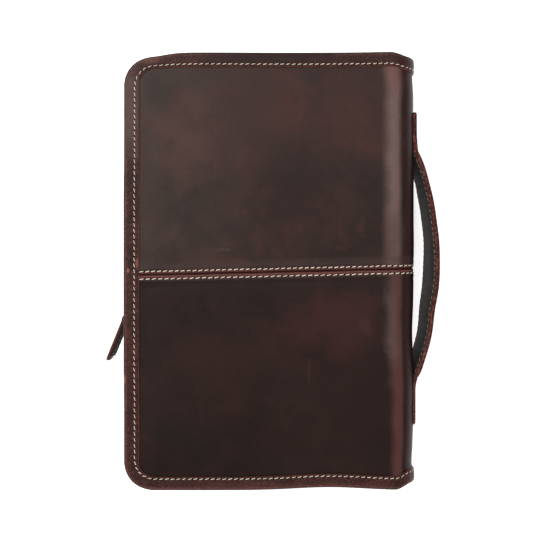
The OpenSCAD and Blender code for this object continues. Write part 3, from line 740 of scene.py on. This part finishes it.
# ---------------------------------------------------------------- zip walls, linings and pockets
XC = bx("back_lining")[1][0]                   # where linings stop, at the fold
def plan_path(off, x_end, ds=1.6):
    """Plan line at an inset from the edge, from the head end of the spine round the fore edge to the tail: (x, y, inward x, inward y)."""
    r = RC - off; x1 = XO + RC; seq = []
    n = max(2, int((x_end - x1) / ds))
    for k in range(n): seq.append((x_end + (x1 - x_end) * k / n, HL - off, 0.0, -1.0))
    m = max(6, int(math.pi / 2 * r / (ds * 0.6)))
    for k in range(m):
        a = math.pi / 2 * k / m
        seq.append((x1 - r * math.sin(a), HL - RC + r * math.cos(a), math.sin(a), -math.cos(a)))
    half = len(seq)
    n = int(2 * (HL - RC) / ds)
    for k in range(n + 1): seq.append((XO + off, (HL - RC) * (1 - 2 * k / n), 1.0, 0.0))
    for (x, y, nx, ny) in reversed(seq[:half]): seq.append((x, -y, nx, -ny))
    return seq

def swept(name, side, path, prof, mat, fn=None):
    """A closed section, (inward, depth) in mm, carried along a plan path."""
    V, S, U, prev = [], [], 0.0, None
    for (x, y, nx, ny) in path:
        if prev: U += math.hypot(x - prev[0], y - prev[1])
        prev = (x, y)
        for (u, d) in prof:
            du, dd = fn(U, u, d) if fn else (0.0, 0.0)
            V.append((x + nx * (u + du), y + ny * (u + du), Zs(side, d + dd))); S.append(d)
    n, L = len(prof), len(path)
    F = grid_faces(L, n, True) + [tuple(range(n)), tuple((L - 1) * n + j for j in range(n))]
    return close(mk(name, V, F, mat, attrs={"s": S}))

def plate(name, side, off, x1, d_out, d_in, mat, fn=None, nx=64, ny=84, soft=False):
    """A thin sheet with the cover's rounded outline; d_in faces the book. fn(x, y, distance to its edge) adds depth on that face."""
    r = RC - off; xa = XO + off
    X = [xa + r * (1 - math.cos(math.pi / 2 * k / 10)) for k in range(10)] + [XO + RC + (x1 - XO - RC) * k / nx for k in range(nx + 1)]
    Y = lambda x: HL - off if x >= XO + RC - 1e-6 else HL - RC + math.sqrt(max(0.0, r * r - (XO + RC - x) ** 2))
    V, S = [], []
    for lay, d in ((0, d_in), (1, d_out)):
        for x in X:
            for j in range(ny + 1):
                t = -1 + 2 * j / ny; y = Y(x) * t
                db = min(x - xa, x1 - x, (1 - abs(t)) * Y(x))
                V.append((x, y, Zs(side, d + (fn(x, y, db) if fn and lay == 0 else 0.0)))); S.append(x1 - x)
    m, R = ny + 1, len(X); L = R * m
    F = grid_faces(R, m) + grid_faces(R, m, base=L, flip=True)
    for i in range(R - 1):
        for j in (0, ny): F.append((i * m + j, (i + 1) * m + j, (i + 1) * m + j + L, i * m + j + L))
    for i in (0, R - 1):
        for j in range(ny): F.append((i * m + j, i * m + j + 1, i * m + j + 1 + L, i * m + j + L))
    return close(mk(name, V, F, mat, attrs={"s": S}, soft=soft))

def board_mat():
    m, nt, bs = new_mat("grey_board")
    v = coords(nt, "rp"); n = noise(nt, v, 700, 4, stretch=((1, 3, 1), (0, 0, 0))); n2 = noise(nt, v, 60, 3)
    nt.links.new(mix(nt, rng(nt, n, 0.35, 0.65, 0, 0.6), ramp(nt, n2, [(0.3, srgb(120, 104, 84)), (0.7, srgb(142, 126, 104))]), srgb(96, 82, 66)), bs.inputs["Base Color"])
    nt.links.new(rng(nt, n, 0.3, 0.7, 0.8, 0.95), bs.inputs["Roughness"])
    bump(nt, bs, n, 0.0001, 0.6)
    return m
BOARD = board_mat()

GUS = [(0.0, 4.62), (-0.06, 6.0), (-0.22, 8.6), (-0.2, 11.0), (-0.02, 12.1), (-0.1, 12.9), (0.05, 13.6), (0.45, 14.0), (0.95, 14.0), (1.3, 13.6), (1.4, 13.0), (1.4, 9.0), (1.4, 4.62)]
TAPE_P = [(-0.3, 8.1), (-0.3, 12), (-0.3, 16), (-0.3, 19.4), (-0.6, 20.0), (-0.74, 20.5), (-0.6, 21.0), (0, 21.2), (0.6, 21.0), (0.74, 20.5), (0.6, 20.0), (0.3, 19.4), (0.3, 14), (0.3, 8.1)]
for side, nm in ((1, "front"), (-1, "back")):
    gw = swept(nm + "_zip_wall", side, plan_path(4.4, XC - 2), GUS, HIDE_IN, lambda U, u, d: ((0.10 * wob(U * 1.7, d * 9, 9) if u < 0.3 and 5.5 < d < 13.4 else 0.0), (0.12 * wob(U * 2.1, 0, 3) if d > 13.4 else 0.0)))
    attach(gw, nm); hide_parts(nm + "_gusset")
    gt = stitch_row(nm + "_zip_wall_thread", [(Vector((x - nx * 0.05, y - ny * 0.05, Zs(side, 12.35))), Vector((0, 0, 1)), Vector((-nx, -ny, 0))) for (x, y, nx, ny) in plan_path(4.4, XC - 4)], 3.3, r=0.22, length=0.66, slant=0.1, seed=31, mats=[THREAD_D, HOLE_SHADE])
    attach(gt, nm)
    tp = swept(nm + "_zip_tape_cloth", side, plan_path(INS, XC - 2), TAPE_P, TAPE, lambda U, u, d: (0.05 * wob(U * 2.6, d * 7, 4) if d < 19 else 0.0, 0.0))
    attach(tp, nm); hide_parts(nm + "_zip_tape")
    ln = plate(nm + "_lining_cloth", side, 1.6, XC, 3.78, 4.5, LINING, lambda x, y, db: (0.10 * wob(x * 1.1, y * 0.9, 3) + 0.05 * wob(x * 4.3, y * 3.7, 6)) * sstep(db / 8) - 0.1, soft=True)
    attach(ln, nm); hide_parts(nm + "_lining")
    bd = plate(nm + "_stiffener", side, 1.9, XC - 2, 2.95, 3.68, BOARD, soft=True)
    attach(bd, nm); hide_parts(nm + "_board")
# pockets: a leather sheet sewn round three sides, its mouth edge folded and sewn
def pocket_fn(lift):
    return lambda x, y, db: lift * (1 - sstep((-x - 6.2) / 0.9)) - 0.10 * math.exp(-((x + 7.2) / 0.7) ** 2) - 0.10 * math.exp(-((db - 2.0) / 0.7) ** 2) + 0.05 * wob(x * 1.4, y * 1.2, 2) * sstep(db / 10) - 0.06
fs = plate("front_pocket", 1, 9.3, 0.0, 4.62, 5.38, HIDE_IN, pocket_fn(0.16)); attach(fs, "front"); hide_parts("front_sleeve")
bs_ = plate("back_pocket", -1, 9.3, 0.0, 6.4, 7.04, HIDE_IN, pocket_fn(0.05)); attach(bs_, "back"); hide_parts("back_sleeve")
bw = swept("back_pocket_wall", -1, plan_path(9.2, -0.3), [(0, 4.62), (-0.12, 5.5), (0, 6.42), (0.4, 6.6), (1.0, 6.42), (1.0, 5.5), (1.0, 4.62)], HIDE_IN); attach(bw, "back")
for side, nm, d in ((1, "front", 5.27), (-1, "back", 6.92)):
    up = Vector((0, 0, -side))
    t1 = stitch_row(nm + "_pocket_thread", [(Vector((x, y, Zs(side, d))), Vector((nx, ny, 0)), up) for (x, y, nx, ny) in plan_path(11.3, -2.6)], 3.4, r=0.24, seed=33, lift=0.06)
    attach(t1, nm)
    if side > 0:
        t2 = stitch_row(nm + "_pocket_mouth_thread", [(Vector((-4.2, y, Zs(side, 5.46))), Vector((1, 0, 0)), up) for y in range(-114, 115, 6)], 3.4, r=0.24, seed=34, lift=0.05)
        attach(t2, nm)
# lining of the spine, between the two covers
def strip(name, x0, x1, y0, y1, z0, z1, mat, amp, ny=90, nz=16):
    """A thin upright sheet in the Y-Z plane with a soft, slightly uneven face."""
    V, S = [], []
    for lay, x in ((0, x0), (1, x1)):
        for j in range(ny + 1):
            for k in range(nz + 1):
                y = y0 + (y1 - y0) * j / ny; z = z0 + (z1 - z0) * k / nz
                e = min(j, ny - j, k, nz - k)
                V.append((x + (amp * wob(y * 1.3, z * 3, 5) * min(1, e / 2) if lay == 0 else 0.0), y, z)); S.append(z)
    m = nz + 1; L = (ny + 1) * m
    F = grid_faces(ny + 1, m) + grid_faces(ny + 1, m, base=L, flip=True)
    for j in range(ny):
        for k in (0, nz): F.append((j * m + k, (j + 1) * m + k, (j + 1) * m + k + L, j * m + k + L))
    for j in (0, ny):
        for k in range(nz): F.append((j * m + k, j * m + k + 1, j * m + k + 1 + L, j * m + k + L))
    return close(mk(name, V, F, mat, attrs={"s": S}))
lo, hi = bx("spine_lining")
sl = strip("spine_lining_cloth", lo[0] + 0.1, hi[0] - 0.03, lo[1], hi[1], lo[2], hi[2], LINING, 0.08)
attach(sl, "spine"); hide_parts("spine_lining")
lo2, hi2 = bx("spine_board")
sb = strip("spine_stiffener", lo2[0] + 0.03, hi2[0] - 0.03, lo2[1] + 0.8, hi2[1] - 0.8, lo2[2], hi2[2], BOARD, 0.02, ny=60, nz=8)
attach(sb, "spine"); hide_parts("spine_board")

# ---------------------------------------------------------------- zip pulls: leather folded round the ring, cloth backed, sewn
def tab_mesh(name, place, ya, yb, w, rc, x0f, x1f, mat, crown=0.1):
    Y = [ya + (yb + rc - ya) * k / 40 for k in range(40)] + [yb + rc - rc * math.sin(math.pi / 2 * k / 8) for k in range(9)]
    V, S = [], []
    for y in Y:
        W = w if y > yb + rc else w - rc + math.sqrt(max(0.0, rc * rc - (yb + rc - y) ** 2))
        a, b = x0f(y), x1f(y); th = b - a; e = min(0.38, th * 0.4); q = 0.42 / W
        for (t, x) in ((-1, a + e), (-1, b - e), (-1 + q * 0.35, b - e * 0.3), (-1 + q, b), (-0.78, b + crown * 0.1), (-0.5, b + crown), (0, b + crown * 1.2), (0.5, b + crown), (0.78, b + crown * 0.1), (1 - q, b), (1 - q * 0.35, b - e * 0.3), (1, b - e), (1, a + e),
                       (1 - q * 0.35, a + e * 0.3), (1 - q, a), (0.78, a - crown * 0.1), (0.4, a - crown), (-0.4, a - crown), (-0.78, a - crown * 0.1), (-1 + q, a), (-1 + q * 0.35, a + e * 0.3)):
            V.append(tuple(place((x, y, t * W)))); S.append(abs(t) * W if y > yb + 1.2 else 7.0)
    n, L = 21, len(Y)
    F = grid_faces(L, n, True) + [tuple(range(n)), tuple((L - 1) * n + j for j in range(n))]
    return close(mk(name, V, F, mat, attrs={"s": S}))
JP = {j["name"]: j for j in frame["joints"]}
def loop_x1(y):
    return math.sqrt(max(0.0, 1.9 ** 2 - (y + 11) ** 2)) if y > -11 else 0.2 + 1.7 * (1 - sstep((-11 - y) / 3.0))
def loop_x0(y):
    return -math.sqrt(max(0.0, 1.9 ** 2 - (y + 11) ** 2)) if y > -11 else -1.5 - 0.4 * (1 - sstep((-11 - y) / 3.0))
for nm, ang, flip in (("lower", -22.0, 1), ("upper", 3.0, -1)):
    lo_, hi_ = bx(nm + "_pull_ring")
    P = Vector(PIVOT[nm]) 
    ca, sa = math.cos(math.radians(ang)), math.sin(math.radians(ang))
    def place(q, P=P, ca=ca, sa=sa, flip=flip):
        x, y, z = q[0], q[1] * flip, q[2]
        return Vector((P.x + ca * x - sa * y, P.y + sa * x + ca * y, P.z + z))
    def turn(q, ca=ca, sa=sa, flip=flip):
        return Vector((ca * q[0] - sa * q[1] * flip, sa * q[0] + ca * q[1] * flip, q[2]))
    body = nm + "_pull"
    tab = tab_mesh(nm + "_pull_leather", place, -9.12, TAB_END, 7.0, 2.5, loop_x0, loop_x1, HIDE_PULL)
    back = tab_mesh(nm + "_pull_cloth", place, -13.6, TAB_END + 3.2, 6.7, 3.2, lambda y: 0.22, lambda y: 1.38, LINING, crown=0.06)
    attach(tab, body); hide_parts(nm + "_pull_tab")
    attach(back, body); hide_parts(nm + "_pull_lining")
    ye = TAB_END + 4.6
    u_line = [(-14.4, 5.3), (-20, 5.3), (-26, 5.3), (ye - 0.2, 5.3), (ye - 1.6, 4.9), (ye - 2.3, 3.9), (ye - 2.5, 2.5), (ye - 2.5, 0), (ye - 2.5, -2.5), (ye - 2.3, -3.9), (ye - 1.6, -4.9), (ye - 0.2, -5.3), (-26, -5.3), (-20, -5.3), (-14.4, -5.3)]
    for k, xx, nn, mt in (("out", -1.56, -1, [THREAD, HOLE_SHADE]), ("in", 1.44, 1, [THREAD_D, HOLE_SHADE])):
        pts = []
        for i, (y, z) in enumerate(u_line):
            y2, z2 = u_line[min(i + 1, len(u_line) - 1)]; y1, z1 = u_line[max(i - 1, 0)]
            t = Vector((0, y2 - y1, z2 - z1)).normalized(); nrm = Vector((nn, 0, 0))
            pts.append((place((xx, y, z)), turn(nrm.cross(t)), turn(nrm)))
        th = stitch_row("%s_pull_thread_%s" % (nm, k), pts, 2.9, r=0.22, length=0.66, slant=0.1, lift=0.05, seed=41, mats=mt, hole=0.8)
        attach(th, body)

# ---------------------------------------------------------------- book: ribbon, headbands, mull
plo, phi = bx("book_pages"); rlo, rhi = bx("book_ribbon")
def ribbon():
    cx = (rlo[0] + rhi[0]) / 2; zt = rhi[2] - 0.18; yt = rlo[1] + 0.22
    pts = [(plo[1] + (phi[1] - 1 - plo[1]) * (1 - k / 90), zt, 0, 1) for k in range(91)]
    pts += [(plo[1] - (0.0 + 0.62 * math.sin(a)), zt - 0.62 * (1 - math.cos(a)), -math.sin(a), math.cos(a)) for a in [math.pi / 2 * k / 6 for k in range(1, 7)]]
    z0 = zt - 0.62
    pts += [(yt - 0.02, z0 + (rlo[2] + 0.3 - z0) * k / 26, -1, 0) for k in range(1, 27)]
    V, S, U = [], [], 0.0
    for i, (y, z, ny, nz) in enumerate(pts):
        if i: U += math.hypot(y - pts[i - 1][0], z - pts[i - 1][1])
        cxx = cx + 0.35 * math.sin(U * 0.035) * min(1, U / 30)
        for (u, h) in ((-1, 0.0), (-0.96, 0.13), (-0.88, 0.10), (-0.5, 0.09), (0, 0.10), (0.5, 0.09), (0.88, 0.10), (0.96, 0.13), (1, 0.0), (0.96, -0.11), (0.5, -0.08), (0, -0.08), (-0.5, -0.08), (-0.96, -0.11)):
            hh = h + 0.03 * math.sin(U * 0.5 + u)
            dz = 0.0
            if i == len(pts) - 1: dz = 3.2 * (u + 1) / 2        # cut on the slant
            V.append((cxx + u * 4.95, y + ny * hh, z + nz * hh + dz)); S.append(abs(u) * 5)
    n, L = 14, len(pts)
    F = grid_faces(L, n, True) + [tuple(range(n)), tuple((L - 1) * n + j for j in range(n))]
    return close(mk("ribbon_marker", V, F, RIBBON, attrs={"s": S})), U
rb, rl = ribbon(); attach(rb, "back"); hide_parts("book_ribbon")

def band_mat():
    m, nt, bs = new_mat("headband_silk")
    at = nt.nodes.new("ShaderNodeAttribute"); at.attribute_name = "tw"
    w = math2(nt, "SINE", at.outputs["Fac"], 0)
    n = noise(nt, coords(nt, "rp"), 900, 3)
    col = mix(nt, rng(nt, w, -0.15, 0.15), srgb(120, 22, 30), srgb(224, 206, 160))
    nt.links.new(mix(nt, rng(nt, n, 0.35, 0.7, 0, 0.4), col, srgb(96, 60, 40)), bs.inputs["Base Color"])
    nt.links.new(rng(nt, n, 0.3, 0.7, 0.4, 0.6), bs.inputs["Roughness"])
    bump(nt, bs, n, 0.00006, 0.6)
    return m
HBM = band_mat()
def headbands():
    lo, hi = bx("book_headbands"); V, F, TW = [], [], []
    r = 1.1; cxx = lo[0] + r
    for sg in (-1, 1):
        base = len(V); NR = 140
        for k in range(NR + 1):
            z = lo[2] + (hi[2] - lo[2]) * k / NR
            rr = r * (0.90 + 0.09 * abs(math.sin(k * math.pi / 4))) * (0.6 if k in (0, NR) else 1)
            for q in range(12):
                a = 2 * math.pi * q / 12
                V.append((cxx + rr * math.cos(a), sg * (hi[1] - r) + rr * math.sin(a), z + 0.25 * math.sin(a))); TW.append(k * math.pi / 8 + 0.01)
        F += grid_faces(NR + 1, 12, True, base) + [tuple(base + q for q in range(12)), tuple(base + NR * 12 + q for q in range(12))]
    return close(mk("headbands_sewn", V, F, HBM, attrs={"tw": TW}))
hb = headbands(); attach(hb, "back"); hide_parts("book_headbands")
lo, hi = bx("book_spine_mull")
MULL = cloth("mull", srgb(170, 160, 135), srgb(214, 206, 184), scale=2200)
mu = strip("mull_gauze", hi[0] - 0.03, lo[0] + 0.03, lo[1], hi[1], lo[2], hi[2], MULL, 0.03, ny=60, nz=10)
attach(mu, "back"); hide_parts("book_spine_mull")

# ---------------------------------------------------------------- hard solids that show as they are, with finishes
def dress(node, mat, bevel=0.0):
    o = NODE[node]
    o.data.materials.clear(); o.data.materials.append(mat)
    if bevel:
        b = o.modifiers.new("edge", "BEVEL"); b.width = bevel; b.segments = 3; b.limit_method = "ANGLE"; b.angle_limit = math.radians(40)
for n in ("back_zip_stops", "front_zip_stops"): dress(n, BRASS, 0.0003)
for n in ("lower_slider", "upper_slider"): dress(n, BRASS, 0.0003)
for n in ("lower_pull_ring", "upper_pull_ring"): dress(n, BRASS, 0.0)
for n in ("book_back_cover", "book_front_cover", "book_spine"): dress(n, COVER, 0.0005)
for n in ("book_pages", "book_front_leaves"): dress(n, PAGES, 0.0004)

# a knotted thread end stands out at the head end of the strap
kn = []
for k in range(9):
    a = k / 8
    kn.append((HX - 1.0 - 1.1 * math.sin(a * math.pi) + 0.5 * a, hs_hi[1] - 1.2 + 1.2 * a, ZC + SW / 2 - 0.2 + 1.0 * math.sin(a * math.pi)))
V, F, TW = [], [], []
for k, c in enumerate(kn):
    for q in range(8):
        an = 2 * math.pi * q / 8
        r = 0.34 * (1 if 0 < k < 8 else 0.5)
        V.append((c[0] + r * math.cos(an), c[1] + r * math.sin(an) * 0.6, c[2] + r * math.sin(an) * 0.8)); TW.append(an + k)
F = grid_faces(9, 8, True) + [tuple(range(8)), tuple(64 + q for q in range(8))]
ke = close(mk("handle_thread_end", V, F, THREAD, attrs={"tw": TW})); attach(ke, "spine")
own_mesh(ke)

# ---------------------------------------------------------------- stage, camera, light
def soft_white(name, c, rough):
    m, nt, bs = new_mat(name)
    v = coords(nt, "obj"); n = noise(nt, v, 3, 3)
    nt.links.new(ramp(nt, n, [(0.3, tuple(x * 0.985 for x in c)), (0.7, c)]), bs.inputs["Base Color"])
    nt.links.new(rng(nt, n, 0.3, 0.7, rough, rough + 0.05), bs.inputs["Roughness"])
    bs.inputs["Specular IOR Level"].default_value = 0.1
    bs.inputs["Emission Color"].default_value = (1, 1, 1, 1); bs.inputs["Emission Strength"].default_value = 0.65
    bump(nt, bs, noise(nt, v, 120, 3), 0.0002, 0.1)
    return m
me = bpy.data.meshes.new("floor"); me.from_pydata([(-40, -40, 0), (40, -40, 0), (40, 40, 0), (-40, 40, 0)], [], [(0, 1, 2, 3)])
me.materials.append(soft_white("paper_white", (0.93, 0.93, 0.93), 0.9))
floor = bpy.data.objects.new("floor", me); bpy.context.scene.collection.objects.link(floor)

sc = bpy.context.scene
w = bpy.data.worlds.new("w"); sc.world = w; w.use_nodes = True
w.node_tree.nodes["Background"].inputs[0].default_value = (1, 1, 1, 1)
w.node_tree.nodes["Background"].inputs[1].default_value = 0.22
bg2 = w.node_tree.nodes.new("ShaderNodeBackground"); bg2.inputs[0].default_value = (1, 1, 1, 1); bg2.inputs[1].default_value = 0.97
lp = w.node_tree.nodes.new("ShaderNodeLightPath"); ms = w.node_tree.nodes.new("ShaderNodeMixShader")
w.node_tree.links.new(lp.outputs["Is Camera Ray"], ms.inputs[0])
w.node_tree.links.new(w.node_tree.nodes["Background"].outputs[0], ms.inputs[1]); w.node_tree.links.new(bg2.outputs[0], ms.inputs[2])
w.node_tree.links.new(ms.outputs[0], w.node_tree.nodes["World Output"].inputs[0])
def area(name, loc, size, power, target=(0, 0, 0.03)):
    l = bpy.data.lights.new(name, "AREA"); l.shape = "RECTANGLE"; l.size, l.size_y = size; l.energy = power
    o = bpy.data.objects.new(name, l); o.location = loc
    o.rotation_euler = (Vector(target) - Vector(loc)).to_track_quat("-Z", "Y").to_euler()
    sc.collection.objects.link(o); return o
area("north", (-0.45, 0.95, 1.4), (1.3, 0.8), 9.0)
area("west", (-1.25, 0.1, 1.15), (0.8, 1.3), 12.5)
area("south", (0.1, -1.4, 1.0), (1.3, 0.7), 10)
area("east", (1.45, 0.1, 0.8), (0.6, 1.3), 1.5)
area("sheen", (-0.34, 0.50, 1.2), (0.5, 0.4), 2.6)
area("spine_strip", (0.30, 0.40, 1.25), (0.20, 0.7), 3.1, target=(0.07, 0.05, 0.04))

cam = bpy.data.cameras.new("cam"); cam.sensor_width = 36; cam.lens = 52.62
co = bpy.data.objects.new("cam", cam); sc.collection.objects.link(co)
co.location = (-0.0026, 0.0027, T * MM + 0.450); co.rotation_euler = (0, 0, 0)
sc.camera = co
sc.view_settings.view_transform = "Standard"
